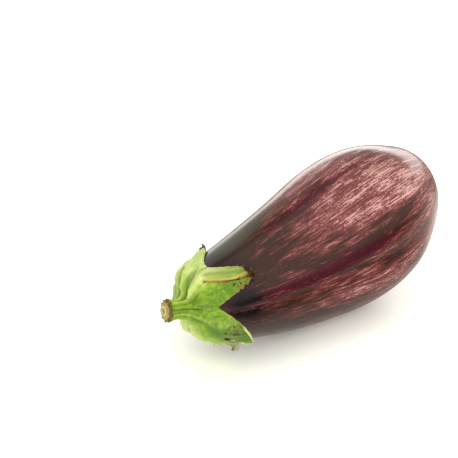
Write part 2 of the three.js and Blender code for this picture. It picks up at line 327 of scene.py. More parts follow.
# Meshes
def on_grid(value, grid):
    """A value, or an array that fits the grid, spread over the whole grid."""
    return np.broadcast_to(value, grid.shape[:2] + np.shape(value)[2:])


def sheet_faces(rows, columns, first):
    """The quads of a grid of points that is stored row by row, starting at the point numbered first."""
    corner = first + np.arange((rows - 1) * columns).reshape(rows - 1, columns)[:, :-1]
    return np.stack([corner, corner + 1, corner + columns + 1, corner + columns], -1).reshape(-1, 4)


def piece(name, sheets, material):
    """One closed object made of sheets. Each is (points in millimetres, {attribute: values}) on one grid, and
    points closer than the merge distance become one."""
    points, faces, values = [], [], {}
    first = 0
    for grid, attributes in sheets:
        rows, columns = grid.shape[:2]
        points.append(grid.reshape(-1, 3))
        faces.append(sheet_faces(rows, columns, first))
        first += rows * columns
        for key, value in attributes.items():
            values.setdefault(key, []).append(on_grid(value, grid).reshape(rows * columns, -1))
    points = (np.concatenate(points) + SHIFT) * MM
    mesh = bpy.data.meshes.new(name)
    mesh.from_pydata(points.tolist(), [], np.concatenate(faces).tolist())
    for key, parts in values.items():
        value = np.concatenate(parts)
        kind, field = ("FLOAT", "value") if value.shape[1] == 1 else ("FLOAT_VECTOR", "vector")
        attribute = mesh.attributes.new(key, kind, "POINT")
        attribute.data.foreach_set(field, value.ravel().astype(np.float32))
    welded = bmesh.new()
    welded.from_mesh(mesh)
    bmesh.ops.remove_doubles(welded, verts=welded.verts, dist=MERGE_DISTANCE * MM)
    bmesh.ops.recalc_face_normals(welded, faces=welded.faces)
    welded.to_mesh(mesh)
    welded.free()
    mesh.shade_smooth()
    made = bpy.data.objects.new(name, mesh)
    bpy.context.collection.objects.link(made)
    made.data.materials.append(material)
    return made


# Shader maths
class Wire:
    """A node's output. Arithmetic on it adds Math nodes."""

    def __init__(self, recipe, socket):
        self.recipe = recipe
        self.socket = socket

    def math(self, operation, first, second):
        return self.recipe.node("ShaderNodeMath", {"operation": operation}, {0: first, 1: second})

    def __add__(self, other):
        return self.math("ADD", self, other)

    def __sub__(self, other):
        return self.math("SUBTRACT", self, other)

    def __rsub__(self, other):
        return self.math("SUBTRACT", other, self)

    def __mul__(self, other):
        return self.math("MULTIPLY", self, other)

    __radd__ = __add__
    __rmul__ = __mul__


class Recipe:
    """The nodes of one material."""

    def __init__(self, name):
        self.material = bpy.data.materials.new(name)
        self.material.use_nodes = True
        self.tree = self.material.node_tree
        self.tree.nodes.clear()

    def node(self, kind, settings=None, sockets=None, output=0):
        """One node: its settings first, and then the values or wires of its inputs."""
        made = self.tree.nodes.new(kind)
        for name, value in (settings or {}).items():
            setattr(made, name, value)
        for key, value in (sockets or {}).items():
            if isinstance(value, Wire):
                self.tree.links.new(value.socket, made.inputs[key])
            else:
                made.inputs[key].default_value = value
        return Wire(self, made.outputs[output]) if len(made.outputs) else made

    def values(self, *names):
        """Numbers stored on the mesh."""
        return [self.node("ShaderNodeAttribute", {"attribute_name": name}, output=2) for name in names]

    def vector(self, name):
        """A vector stored on the mesh."""
        return self.node("ShaderNodeAttribute", {"attribute_name": name}, output=1)

    def place(self):
        """The place on the object, in metres."""
        return self.node("ShaderNodeTexCoord", output=3)

    def noise(self, vector, scale, detail=3, roughness=0.55, distortion=0, offset=(0, 0, 0)):
        """Noise from 0 to 1 on a vector. The scale is one number, or one for each axis."""
        sizes = scale if isinstance(scale, tuple) else (scale,) * 3
        spread = self.node("ShaderNodeMapping", {}, {0: vector, "Location": offset, "Scale": sizes})
        inputs = {"Vector": spread, "Scale": 1, "Detail": detail, "Roughness": roughness}
        return self.node("ShaderNodeTexNoise", {}, {**inputs, "Distortion": distortion})

    def step(self, value, low, high):
        """0 below low and 1 above high, smooth between them."""
        inputs = {"Value": value, "From Min": low, "From Max": high}
        return self.node("ShaderNodeMapRange", {"interpolation_type": "SMOOTHSTEP"}, inputs)

    def blend(self, share, first, second):
        """The second colour over the first, by its share."""
        colours = [c if isinstance(c, Wire) else (*c, 1) for c in (first, second)]
        sockets = {0: share, 6: colours[0], 7: colours[1]}
        return self.node("ShaderNodeMix", {"data_type": "RGBA"}, sockets, output=2)

    def layers(self, base, *layers):
        """Colours laid over a base one after the other, each given with its share."""
        for share, laid in layers:
            base = self.blend(share, base, laid)
        return base

    def bump(self, height, strength, distance):
        """A normal that follows a height."""
        return self.node("ShaderNodeBump", {}, {"Strength": strength, "Distance": distance, "Height": height})

    def surface(self, **inputs):
        """The finished surface, from a Principled shader's inputs."""
        sockets = {name.replace("_", " "): value for name, value in inputs.items()}
        shader = self.node("ShaderNodeBsdfPrincipled", {}, sockets)
        self.node("ShaderNodeOutputMaterial", {}, {"Surface": shader})
        return self.material


def swing(noise, amount):
    """Noise that swings evenly to both sides of 0, by half the amount."""
    return (noise - 0.5) * amount


def colour(red, green, blue):
    """The linear colour of three display values from 0 to 255."""
    value = np.array([red, green, blue]) / 255
    linear = np.where(value <= 0.04045, value / 12.92, ((value + 0.055) / 1.055) ** 2.4)
    return tuple(float(v) for v in linear)


# The fruit's skin: pale dashes run along it, thick on its upper side and in a band low down.
# A band is: degrees round the fruit, half width there, millimetres along, half length, amount.
DASH_BANDS = (
    (28, 30, 142, 50, 0.22),
    (40, 12, 164, 18, 0.2),
    (26, 20, 78, 22, -0.1),
    (-10, 16, 56, 26, -0.25),
    (61, 6, 140, 16, -0.18),
    (78, 8, 38, 16, 0.25),
    (118, 11, 74, 24, -0.18),
    (102, 9, 120, 38, 0.18),
    (72, 8, 104, 44, -0.05),
    (51, 3, 160, 24, 0.3),
    (-14, 16, 128, 40, 0.12),
    (82, 14, 172, 26, 0.1),
    (160, 26, 130, 50, 0.13),
    (208, 24, 120, 56, 0.15),
    (262, 22, 140, 48, 0.16),
    (305, 22, 120, 54, 0.15),
)
# Deep purple bands. Those at 72, 58 and 7 degrees round lie where the skin reflects dark surroundings, and
# the one at 50 degrees where the calyx shades it: they are partly painted dark reflection and painted shade
DEEP_PURPLE_AND_DARK_REFLECTION_BANDS = (
    (72, 8, 84, 64, 1),
    (58, 14, 108, 36, 0.3),
    (7, 5, 104, 44, 0.9),
    (50, 40, 18, 26, 1),
    (185, 9, 110, 70, 0.8),
    (236, 8, 90, 70, 0.9),
    (285, 8, 120, 60, 0.7),
)
# Green bands: a greenish undertone by the calyx, which on the neck's top is partly a painted greenish sheen
GREEN_AND_SHEEN_BANDS = ((-8, 14, 50, 24, 1), (-24, 16, 84, 30, 0.8), (200, 30, 50, 24, 0.6))
# Painted shade: the skin is darkened just past the calyx's edge, where the lobes shade it
PAINTED_SHADE_BANDS = (
    (76, 20, 37, 13, 1.3),
    (30, 34, 38, 12, 0.7),
    (190, 60, 32, 12, 0.8),
    (300, 60, 34, 12, 0.8),
)

# How much thinner the dashes are on the neck, up to a distance from the stem, and round the blossom end
THIN_NECK = 0.13
THIN_NECK_REACH = (30, 90)
THIN_END = 0.25
THIN_END_REACH = 13

BROWN_SKIN = colour(48, 25, 16)
# A greenish undertone, partly a painted sheen
GREEN_SKIN_AND_SHEEN = colour(54, 50, 32)
FLUSHED_SKIN = colour(104, 47, 46)
# Deep purple, partly painted dark reflection and painted shade
DEEP_PURPLE_AND_DARK_REFLECTION_SKIN = colour(54, 8, 18)
# Painted shade by the calyx
PAINTED_SHADE_SKIN = colour(10, 4, 6)
FAINT_MARK = colour(126, 66, 64)
FAINT_DEEP_MARK = colour(124, 34, 52)
BRIGHT_MARK = colour(192, 148, 142)
BRIGHT_DEEP_MARK = colour(160, 70, 82)
BRIGHTEST_MARK = colour(208, 168, 158)
CORK = colour(124, 96, 66)


def fruit_skin():
    """Pale strokes and flecks lie where noise that is stretched along the fruit is high, and thicker where
    clumps and the bands say so. The ground flushes under them, with deep purple bands, partly painted dark
    reflection, green bands, partly a painted greenish sheen, and painted shade by the calyx that also dims
    the strokes."""
    recipe = Recipe("fruit_skin")
    course = recipe.vector("course")
    dashed, deep, painted_shade, green_and_sheen, scar = recipe.values("dashed", "deep", "painted_shade", "green_and_sheen", "scar")
    drift = recipe.noise(course, (3.2, 3.2, 1.2), detail=2, offset=(3, 1, 0))
    clumps = recipe.noise(course, (13, 13, 2.2), detail=3, roughness=0.6, offset=(8, 2, 5))
    ragged = recipe.noise(course, (120, 120, 50), detail=2, offset=(2, 2, 2))
    lines = recipe.noise(course, (56, 56, 3.4), detail=2, distortion=0.4, offset=(0, 7, 2))
    dashes = recipe.noise(course, (84, 84, 14), detail=3, roughness=0.65, offset=(5, 0, 9))
    thick = dashed + swing(clumps, 0.6) + swing(drift, 0.4)
    torn = thick * 0.3 + swing(clumps, 0.2) + swing(ragged, 0.44)
    strokes = recipe.step(lines + torn, 0.61, 0.7)
    flecks = recipe.step(dashes + torn, 0.62, 0.72)
    pale = 1 - (1 - strokes) * (1 - flecks)

    # Deep purple, partly painted dark reflection and painted shade by the calyx
    deeper = recipe.step(deep + swing(clumps, 0.9), 0.2, 0.8)
    flush = recipe.step(thick + swing(lines, 0.4), -0.09, 0.16)
    # A green ground that is partly a painted greenish sheen on the neck's top
    ground = recipe.blend(green_and_sheen, BROWN_SKIN, GREEN_SKIN_AND_SHEEN)
    # The deep purple and the painted shade by the calyx are laid over the ground
    ground = recipe.layers(ground, (flush, FLUSHED_SKIN), (deeper, DEEP_PURPLE_AND_DARK_REFLECTION_SKIN), (painted_shade, PAINTED_SHADE_SKIN))
    faint = recipe.blend(deeper, FAINT_MARK, FAINT_DEEP_MARK)
    bright = recipe.blend(deeper, BRIGHT_MARK, BRIGHT_DEEP_MARK)
    brighter = recipe.step(thick + swing(ragged, 0.3), 0, 0.24)
    brightest = recipe.step(thick + swing(ragged, 0.4), 0.3, 0.7)
    marks = recipe.layers(faint, (brighter, bright), (brightest, BRIGHTEST_MARK))
    corky = recipe.step(scar + swing(ragged, 0.5), 0.45, 0.7) * 0.9
    pores = recipe.noise(recipe.place(), 900, detail=2)
    # The painted shade by the calyx dims the pale marks as well as the ground
    return recipe.surface(
        Base_Color=recipe.layers(ground, (pale * (0.92 - painted_shade * 0.6), marks), (corky, CORK)),
        Roughness=0.2 + pale * 0.05,
        IOR=1.45,
        Normal=recipe.bump(pores, 0.05, 0.0004),
    )


fruit_surface = fruit_points.copy()
fruit_surface[..., 2] = np.maximum(fruit_surface[..., 2], lowest)
fruit_degrees = np.degrees(fruit_angle)
from_end = outline_length - fruit_at
dashed = spots(DASH_BANDS, fruit_degrees, fruit_at)
dashed = dashed - THIN_NECK * (1 - smoothstep(fruit_at, *THIN_NECK_REACH))
dashed = dashed - THIN_END * bell(from_end / THIN_END_REACH)
fruit_facts = {
    "course": course_of(fruit_angle, fruit_at),
    "dashed": dashed,
    "deep": spots(DEEP_PURPLE_AND_DARK_REFLECTION_BANDS, fruit_degrees, fruit_at),
    "painted_shade": np.clip(spots(PAINTED_SHADE_BANDS, fruit_degrees, fruit_at), 0, 1),
    "green_and_sheen": np.clip(spots(GREEN_AND_SHEEN_BANDS, fruit_degrees, fruit_at), 0, 1),
    "scar": bell(from_end / SCAR_RADIUS),
}
fruit = piece("fruit_skin", [(fruit_surface, fruit_facts)], fruit_skin())
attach(fruit, "root")
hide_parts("fruit")


# The calyx and the stem
def pleats(angle, at):
    """The pleats' height: a bell curve round each pleat's line, which fades out along the calyx."""
    total = 0
    for line, height, width, end in PLEATS:
        total = total + height * (1 - smoothstep(at, end - PLEAT_FADE, end)) * bell(turn(angle, line) / width)
    return total


def grooves(angle, at, spread=1.0):
    """The grooves' depth: each falls off on both sides as an exponential of a hyperbola, so that its floor is
    narrow and round, and fades out along the calyx."""
    total = 0
    for line, depth, width, end in GROOVES:
        away = np.hypot(turn(angle, line), GROOVE_FLOOR) - GROOVE_FLOOR
        fade = 1 - smoothstep(at, end - GROOVE_FADE, end)
        total = total + depth * (fade * np.exp(-away / (width * spread)))
    return total


def base_line(lobe, column):
    """Where the lobe starts, on a straight line from one of its notches to the other."""
    return mix(*lobe["base"], (column + 1) / 2)


def across_lobe(lobe, column, at):
    """A column's share of the lobe's half width. On the split lobe column 0 follows the split."""
    middle = np.interp(at, SLIT_AT, SLIT_ACROSS) if lobe["slit"] else np.zeros_like(at)
    return np.where(column < 0, mix(-1, middle, column + 1), mix(middle, 1, column))


def cap_place(lobe, column, at):
    """Between the lines from the stem to two notches: degrees change evenly from one to the other."""
    across = across_lobe(lobe, column, at)
    angle = lobe["middle"] + lobe["half"] * across
    return dict(column=column, across=across, at=at, angle=angle, out=np.zeros_like(at))


def blade_place(lobe, column, out):
    """On a lobe, out from 0 at its notches to 1 at its tip. The half width falls by a power of out, the
    tongue's part as a super-ellipse, and the middle turns to the tip's angle. Its margin wanders in waves."""
    at = mix(base_line(lobe, column), lobe["tip"][1], out)
    across = across_lobe(lobe, column, at)
    half = lobe["half"]
    tongue = np.degrees(lobe["tongue"] / np.interp(at, outline_at, outline_r))
    half_here = (half - tongue) * (1 - out ** lobe["taper"]) + tongue * np.sqrt(1 - out**4)
    middle_here = mix(lobe["middle"], lobe["tip"][0], out**TURN_POWER)
    wander = 0
    for height, rate, halves, sides in MARGIN_WAVES:
        wander = wander + height * np.sin(rate * at + halves * half + sides * column)
    reach = EDGE_WANDER + WORN_WANDER * lobe["worn"] * smoothstep(out, *WORN_GROWS)
    wander = np.degrees(reach / CALYX_RADIUS) * wander * across**MARGIN_POWER * np.sin(pi * out) ** 0.5
    return dict(column=column, across=across, at=at, angle=middle_here + half_here * across + wander, out=out)


def lobe_width(lobe, out):
    """Half the lobe's width in millimetres, at a share of the way to its tip."""
    half = np.radians(lobe["half"]) * CALYX_RADIUS
    return half * (1 - out ** lobe["taper"]) + lobe["tongue"] * np.sqrt(1 - out**4)


def edge_distance(lobe, place):
    """Millimetres from the lobe's free edge, and far from it on the cap."""
    inside = (1 - np.abs(place["across"])) * lobe_width(lobe, place["out"])
    return np.where(place["out"] > 0, inside, FAR)


def strip_height(lobe, place):
    """The proud strip's extra height on its side of the split, with two folds along it as a sine wave."""
    if not lobe["slit"]:
        return 0
    start = smoothstep(place["at"], SLIT_START, STRIP_RISEN) * np.where(place["column"] < 0, 1, 0)
    folds = STRIP_FOLD * np.sin(4 * pi * (place["column"] + STRIP_FOLD_START))
    return start * (STRIP_HEIGHT * smoothstep(place["across"], -1, STRIP_SLOPE_END) + folds)


def near_edge(place):
    """0 in the middle of the calyx and 1 at a lobe's free edge or tip."""
    side = place["across"] ** EDGE_SHARPNESS * smoothstep(place["out"], *EDGE_STARTS)
    return np.maximum(side, place["out"] ** TIP_SHARPNESS)


def relief(lobe, place):
    """The outside's height over the plain cap and lobes: pleats, grooves, puffs, wrinkles, the proud strip
    and the lip."""
    angle, at = place["angle"], place["at"]
    lip = bell((edge_distance(lobe, place) - LIP_FROM) / LIP_WIDTH) * smoothstep(place["out"], *LIP_GROWS)
    lip = LIP_HEIGHT * lobe["lip"] * lip
    folds = pleats(angle, at) - grooves(angle, at) + spots(PUFFS, angle, at)
    folds = folds + waves(WRINKLES, np.radians(angle), at)
    return folds + strip_height(lobe, place) + lip


def calyx_points(lobe, place, outside):
    """The calyx's underside, or its outside a thickness above it. A lobe rises off the skin as the square of
    out, and its last part is rolled round a circle, which carries its thickness with it."""
    angle, out, at = place["angle"], place["out"], place["at"]
    dry_from = lobe["tip"][1] - lobe["dry"]
    dry = smoothstep(at, dry_from - 1, dry_from + 2)
    crumple = 0
    for height, around, along in CRUMPLE_WAVES:
        crumple = crumple + height * np.sin(around * angle + along * at)
    height = FIT_GAP + lobe["rise"] * out**2 + dry * (1 + crumple) / 2
    thickness = np.zeros_like(at)
    if outside:
        thickness = mix(CAP_THICKNESS, LOBE_THICKNESS, smoothstep(at, *CAP_THINS)) + relief(lobe, place)
        thickness = mix(thickness, EDGE_THICKNESS, near_edge(place))
    radius, length = lobe["curl"]
    radius = radius * (1 + ROLL_WANDER * np.sin(ROLL_WAVE[0] * angle + ROLL_WAVE[1]))
    excess = np.clip(at - lobe["tip"][1] + length, 0, None) * (out > 0)
    roll = excess / radius
    rolled_at = at - excess + (radius - thickness) * np.sin(roll)
    rolled = height + radius * (1 - np.cos(roll)) + thickness * np.cos(roll)
    return tilted(skin(rolled_at, np.radians(angle), rolled))


stem_along = np.array([-1, *STEM_LEAN])
stem_along = stem_along / np.linalg.norm(stem_along)
stem_up = np.array([0, 0, 1]) - stem_along * stem_along[2]
stem_up = stem_up / np.linalg.norm(stem_up)
stem_side = np.cross(stem_up, stem_along)
stem_foot = skin(0, 0, 0)


def stem_points(height, angle, share=1.0, rise=0.0):
    """The stem: a circle with ribs, grooves and, at its cut end, a collar, carried along the stem's axis."""
    height, angle, share, rise = np.broadcast_arrays(height, angle, share, rise)
    collar = COLLAR_FLARE * smoothstep(height, STEM_LENGTH - COLLAR_LENGTH, STEM_LENGTH)
    fluting = GROOVES_ON_STEM * grooves(angle, 0, GROOVE_SPREAD_ON_STEM)
    radius = (STEM_RADIUS + collar + PLEATS_ON_STEM * pleats(angle, 0) - fluting) * share
    turned = np.radians(angle)
    out = np.cos(turned)[..., None] * stem_up + np.sin(turned)[..., None] * stem_side
    return tilted(stem_foot + (height + rise)[..., None] * stem_along + radius[..., None] * out)


def fillet_at(angle):
    """The fillet's measures at an angle round the stem: they grow towards its gentle side as a bell curve."""
    gentle = bell(turn(angle, GENTLE_SIDE["angle"]) / GENTLE_SIDE["width"])
    return {key: value + GENTLE_SIDE[key] * gentle for key, value in FILLET.items()}


def lobe_columns(lobe):
    """Evenly spaced columns from one side to the other, with one more close beside the split."""
    count = 2 * round(lobe["half"] / DEGREES_PER_COLUMN)
    columns = np.linspace(1, -1, count + 1)
    if lobe["slit"]:
        columns = np.insert(columns, count // 2 + 1, -SLIT_WIDTH)
    return columns[:, None]


def rim(upper, inward, under):
    """A half round from the upper edge to the lower one, bulging away from the lobe's middle."""
    away = upper - inward
    away = away / (np.linalg.norm(away, axis=-1, keepdims=True) + TINY)
    thick = np.linalg.norm(upper - under, axis=-1, keepdims=True)
    t = np.linspace(0, 1, RIM_ROWS + 1)[:, None, None]
    fade = smoothstep(np.linspace(0, 1, len(upper)), 0, RIM_FADE)[None, :, None]
    return mix(upper, under, t) + away * thick * fade * RIM_BULGE * np.sin(pi * t)


# What the calyx's colours follow. A place is given as a band on the fruit is.
PALE_PLACES = (
    (-38, 50, 30, 26, 0.9),
    (12, 18, 20, 16, 0.75),
    (50, 20, 34, 14, -0.4),
    (118, 24, 30, 14, -0.8),
    (192, 50, 18, 24, 1.2),
    (250, 40, 26, 20, 0.5),
)
SPECKLED_PLACES = ((110, 15, 28, 8, 1.1), (46, 5, 38, 7, 0.8), (250, 12, 38, 9, 0.8))
BLEACHED_PLACES = ((157, 10, 41, 7, 1.1),)

# How far a worn lobe dries down its sides, and the shares across and out where it looks worn or thick
WORN_DRIES = 3
WORN_DRIES_POWER = 8
WORN_ACROSS = (0, 0.6)
WORN_OUT = (0.2, 0.5)
THICK_OUT = (0.3, 0.65)


def plain_facts(angle, at):
    """The facts where no lobe's edge, tip or split is near: the way round and along, how deep in one of the
    grooves the place is, which sets the painted shade there, how high on a pleat, and how pale, speckled or
    bleached."""
    return {
        "course": course_of(np.radians(angle), at),
        "groove": np.clip(grooves(angle, at), 0, 1),
        "ridge": np.clip(pleats(angle, at) / PLEAT_FULL, 0, 1),
        "pallor": spots(PALE_PLACES, angle, at),
        "speckled": spots(SPECKLED_PLACES, angle, at),
        "bleached": spots(BLEACHED_PLACES, angle, at),
        "edge": FAR, "ripe": FAR, "split": FAR, "worn": 0.0, "lip": 0.0, "strip": 0.0, "cut": 0.0,
    }


def facts(lobe, place):
    """The facts on a lobe or its part of the cap: also millimetres from its free edge, from the dry part of
    its tip and from its split, and how worn and how thick its margin is."""
    column, across, at, out = (place[key] for key in ("column", "across", "at", "out"))
    found = plain_facts(place["angle"], at)
    dry_sides = WORN_DRIES * lobe["worn"] * across**WORN_DRIES_POWER
    found["edge"] = edge_distance(lobe, place)
    found["ripe"] = lobe["tip"][1] - at - lobe["dry"] - dry_sides
    found["worn"] = lobe["worn"] * smoothstep(across, *WORN_ACROSS) * smoothstep(out, *WORN_OUT)
    found["lip"] = lobe["lip"] / 2 * smoothstep(out, *THICK_OUT)
    if lobe["slit"]:
        gap = (across - np.interp(at, SLIT_AT, SLIT_ACROSS)) * lobe_width(lobe, out)
        found["split"] = np.where(at > SLIT_START, np.abs(gap), np.hypot(gap, at - SLIT_START))
        found["strip"] = (column < 0) * smoothstep(at, SLIT_START, STRIP_START) + 0 * gap
        # A painted shade line along the proud strip's fold
        crease_shade = found["strip"] * bell((column - STRIP_CREASE) / STRIP_CREASE_WIDTH)
        found["groove"] = np.maximum(found["groove"], crease_shade)
    return found


def flip(value):
    return value[:, ::-1] if np.ndim(value) else value


def join_columns(parts):
    """Grids side by side, with their attributes."""
    points = np.concatenate([grid for grid, _ in parts], 1)
    keys = parts[0][1]
    values = {key: np.concatenate([on_grid(found[key], grid) for grid, found in parts], 1) for key in keys}
    return points, values


def lobe_sheets(lobe):
    """The outside of one fifth of the calyx, from the middle of the stem's cut end to the lobe's edge, its
    underside back to the fruit's end, and the two rounded rims that close them."""
    column = lobe_columns(lobe)
    angle = cap_place(lobe, column, np.zeros_like(column))["angle"]
    shape = fillet_at(angle)
    share = np.linspace(0, 1, FACE_ROWS + 1)[None, :-1]
    face = stem_points(STEM_LENGTH, angle + 0 * share, share, STEM_DOME * (1 - share**2))
    height = mix(STEM_LENGTH, shape["top"], np.linspace(0, 1, STEM_ROWS + 1)[None, :-1])
    side = stem_points(height, angle)
    way = np.linspace(0, 1, FILLET_ROWS + 1)[None, :-1, None]
    start = stem_points(shape["top"], angle)
    knee = stem_points(shape["knee"], angle, shape["knee_share"])
    foot = calyx_points(lobe, cap_place(lobe, column, shape["foot"]), True)
    fillet = (1 - way) ** 2 * start + 2 * way * (1 - way) * knee + way**2 * foot
    rows = np.linspace(0, 1, CAP_ROWS + 1)[None, :-1]
    cap = cap_place(lobe, column + 0 * rows, mix(shape["foot"], base_line(lobe, column), rows))
    out = np.sin(np.linspace(0, pi / 2, LOBE_ROWS + 1))[None, :]
    blade = blade_place(lobe, column + 0 * out, out + 0 * column)
    rows = np.linspace(1, 0, CAP_ROWS + ROOT_ROWS + 1)[None, 1:]
    root = cap_place(lobe, column + 0 * rows, base_line(lobe, column) * rows)
    upper = calyx_points(lobe, blade, True)
    under = calyx_points(lobe, blade, False)

    blade_facts = facts(lobe, blade)
    face_facts = {**plain_facts(angle + 0 * share, 0), "cut": 2 - share + 0 * angle}
    below_cut = (STEM_LENGTH - height) / BARK_REACH
    side_facts = {**plain_facts(angle + 0 * height, 0), "cut": 1 - below_cut + 0 * angle}
    outer = join_columns([
        (face, face_facts),
        (side, side_facts),
        (fillet, plain_facts(angle + 0 * way[..., 0], shape["foot"] * way[..., 0])),
        (calyx_points(lobe, cap, True), facts(lobe, cap)),
        (upper, blade_facts),
    ])
    inner = join_columns([
        (under[:, ::-1], {key: flip(value) for key, value in blade_facts.items()}),
        (calyx_points(lobe, root, False), facts(lobe, root)),
    ])
    rims = []
    for edge, inward in ((0, 1), (-1, -2)):
        found = {key: value[edge][None] if np.ndim(value) else value for key, value in blade_facts.items()}
        rims.append((rim(upper[edge], upper[inward], under[edge]), found))
    return [outer, inner, *rims]


def prickle(angle, at, height, length, radius):
    """A slim cone that stands on the calyx and bends towards the stem: rings round a line whose radius falls
    as a power of the way up it. Its root is closed and lies inside the calyx."""
    up = np.array([0, 0, *np.linspace(PRICKLE_START, 1, PRICKLE_ROWS)])[:, None]
    wide = radius * (1 - up) ** PRICKLE_TAPER * (np.arange(len(up)) > 0)[:, None]
    around = np.linspace(0, 2 * pi, PRICKLE_SIDES + 1)[None, :]
    turned = angle + np.degrees(wide * np.cos(around) / CALYX_RADIUS)
    along = at - PRICKLE_BEND * length * up**2 + wide * np.sin(around)
    points = tilted(skin(along, np.radians(turned), height + length * up + 0 * around))
    return points, {**plain_facts(turned, along), "pallor": PRICKLE_PALLOR}


DARK_GREEN = colour(82, 118, 20)
MID_GREEN = colour(132, 164, 42)
PALE_GREEN = colour(190, 203, 126)
RIDGE_GREEN = colour(186, 202, 110)
# Painted shade in the grooves
GROOVE_SHADE_GREEN = colour(64, 100, 20)
SPECKLED_GREEN = colour(112, 122, 36)
SPECK = colour(26, 34, 8)
STRIP_GREEN = colour(150, 148, 96)
MARGIN_GREEN = colour(158, 162, 76)
LIP_GREEN = colour(206, 212, 138)
RUST = colour(150, 92, 48)
BLEACHED = colour(168, 162, 132)
DARK_SCORCH = colour(66, 56, 18)
PALE_SCORCH = colour(150, 132, 66)
STRAW = colour(178, 172, 70)
TAN = colour(138, 108, 40)
BLACKENED = colour(36, 26, 10)
DARK_DRIED = colour(24, 14, 8)
PALE_DRIED = colour(106, 68, 36)
DARK_BARK = colour(48, 36, 12)
PALE_BARK = colour(120, 100, 46)
DARK_WOOD = colour(136, 122, 44)
PALE_WOOD = colour(170, 156, 84)
WOOD_RING = colour(196, 188, 140)
PITH = colour(120, 104, 70)


def calyx_green():
    """Green that noise and the pale places lighten, with specks, a worn margin, rust, the split's tan edges
    and the dried tips laid over it. The stem's cut end has bark, wood, a pale ring and the pith."""
    recipe = Recipe("calyx_green")
    place = recipe.place()
    course = recipe.vector("course")
    edge, ripe, split, cut, groove, ridge = recipe.values("edge", "ripe", "split", "cut", "groove", "ridge")
    pallor, speckled, bleached = recipe.values("pallor", "speckled", "bleached")
    worn, strip, lip = recipe.values("worn", "strip", "lip")
    patches = recipe.noise(place, 150, detail=2, offset=(7, 3, 1))
    mottle = recipe.noise(place, 430, detail=4, roughness=0.6)
    fine = recipe.noise(place, 1300, detail=3)
    fibres = recipe.noise(course, (30, 30, 7), detail=3, roughness=0.6)
    specks = recipe.noise(place, 700, detail=1, offset=(1, 4, 2))

    light = pallor + swing(patches, 0.7) + swing(mottle, 1.2) + swing(fibres, 0.8)
    on_ridge = recipe.step(ridge + swing(mottle, 0.9), 0.3, 1) * 0.55
    # Painted shade: darker green in the grooves and along the strip's crease
    in_groove = recipe.step(groove + swing(mottle, 0.5), 0.2, 1) * 0.6
    dots = recipe.step(specks, 0.57, 0.6) * recipe.step(speckled + swing(patches, 0.6), 0.25, 0.5)
    margin = 1 - recipe.step(edge + swing(mottle, 1.6), 0.3, 1.1)
    thickened = (1 - recipe.step(edge + swing(mottle, 0.8), 1.4, 2.4)) * recipe.step(lip, 0.3, 0.9)
    from_edge = edge + swing(mottle, 1)
    rusty = recipe.step(from_edge, 1.2, 1.6) * (1 - recipe.step(from_edge, 1.9, 2.4)) * strip
    scorched = (1 - recipe.step(edge + swing(patches, 4) + swing(mottle, 4), 0.8, 3.2)) * worn
    from_split = split + swing(patches, 2.4) + swing(mottle, 2.4)
    by_split = (1 - recipe.step(from_split, 1, 2.4)) * strip
    at_split = 1 - recipe.step(from_split, 0.5, 1.3)
    in_split = (1 - recipe.step(from_split, 0.2, 0.8)) * recipe.step(patches + fine * 0.5, 0.62, 0.8)
    dried = 1 - recipe.step(ripe + swing(patches, 4) + swing(mottle, 4), -0.6, 0.8)
    crisp = recipe.step(mottle * 0.6 + fine * 0.4, 0.42, 0.64)
    green = recipe.layers(
        recipe.blend(recipe.step(light, -0.35, 0.35), DARK_GREEN, MID_GREEN),
        (recipe.step(light, 0.2, 1.2), PALE_GREEN),
        (on_ridge, RIDGE_GREEN),
        (in_groove, GROOVE_SHADE_GREEN),
        (recipe.step(speckled, 0.2, 0.8) * 0.5, SPECKLED_GREEN),
        (dots * 0.95, SPECK),
        (strip * 0.35, STRIP_GREEN),
        (margin * 0.5, MARGIN_GREEN),
        (thickened * 0.9, LIP_GREEN),
        (rusty * 0.7, RUST),
        (bleached * 0.9, BLEACHED),
        (scorched * 0.85, recipe.blend(mottle, DARK_SCORCH, PALE_SCORCH)),
        (by_split * 0.7, STRAW),
        (at_split * 0.85, TAN),
        (in_split * 0.95, BLACKENED),
        (dried, recipe.blend(crisp, DARK_DRIED, PALE_DRIED)),
    )

    barky = recipe.step(cut + swing(fine, 0.3) + swing(mottle, 0.4), 0.5, 0.66)
    woody = recipe.step(cut + swing(mottle, 0.24), 1.1, 1.22)
    ringed = recipe.step(cut, 1.5, 1.54) * (1 - recipe.step(cut, 1.68, 1.73))
    base = recipe.layers(
        green,
        (barky, recipe.blend(mottle, DARK_BARK, PALE_BARK)),
        (woody, recipe.blend(recipe.step(fine, 0.35, 0.65), DARK_WOOD, PALE_WOOD)),
        (ringed, WOOD_RING),
        (recipe.step(cut, 1.86, 1.92), PITH),
    )
    return recipe.surface(
        Base_Color=base,
        Roughness=0.4 + fine * 0.2,
        Specular_IOR_Level=0.35,
        Subsurface_Weight=0.1,
        Subsurface_Radius=(0.002, 0.003, 0.0008),
        Normal=recipe.bump(mottle * 0.5 + fine * 0.3 + fibres * 0.5, 0.5, 0.0008),
    )


lobe_shapes = []
for number, lobe in enumerate(LOBES):
    start, end = NOTCHES[number], NOTCHES[(number + 1) % len(NOTCHES)]
    end_angle = end[0] if end[0] > start[0] else end[0] + 360
    lobe_shapes.append({
        **lobe,
        "middle": (start[0] + end_angle) / 2,
        "half": (end_angle - start[0]) / 2,
        "base": (start[1], end[1]),
    })
calyx_sheets = [made for lobe in lobe_shapes for made in lobe_sheets(lobe)]
calyx_sheets += [prickle(*place) for place in PRICKLES]
calyx = piece("calyx", calyx_sheets, calyx_green())
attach(calyx, "root")
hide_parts("calyx_and_stem")


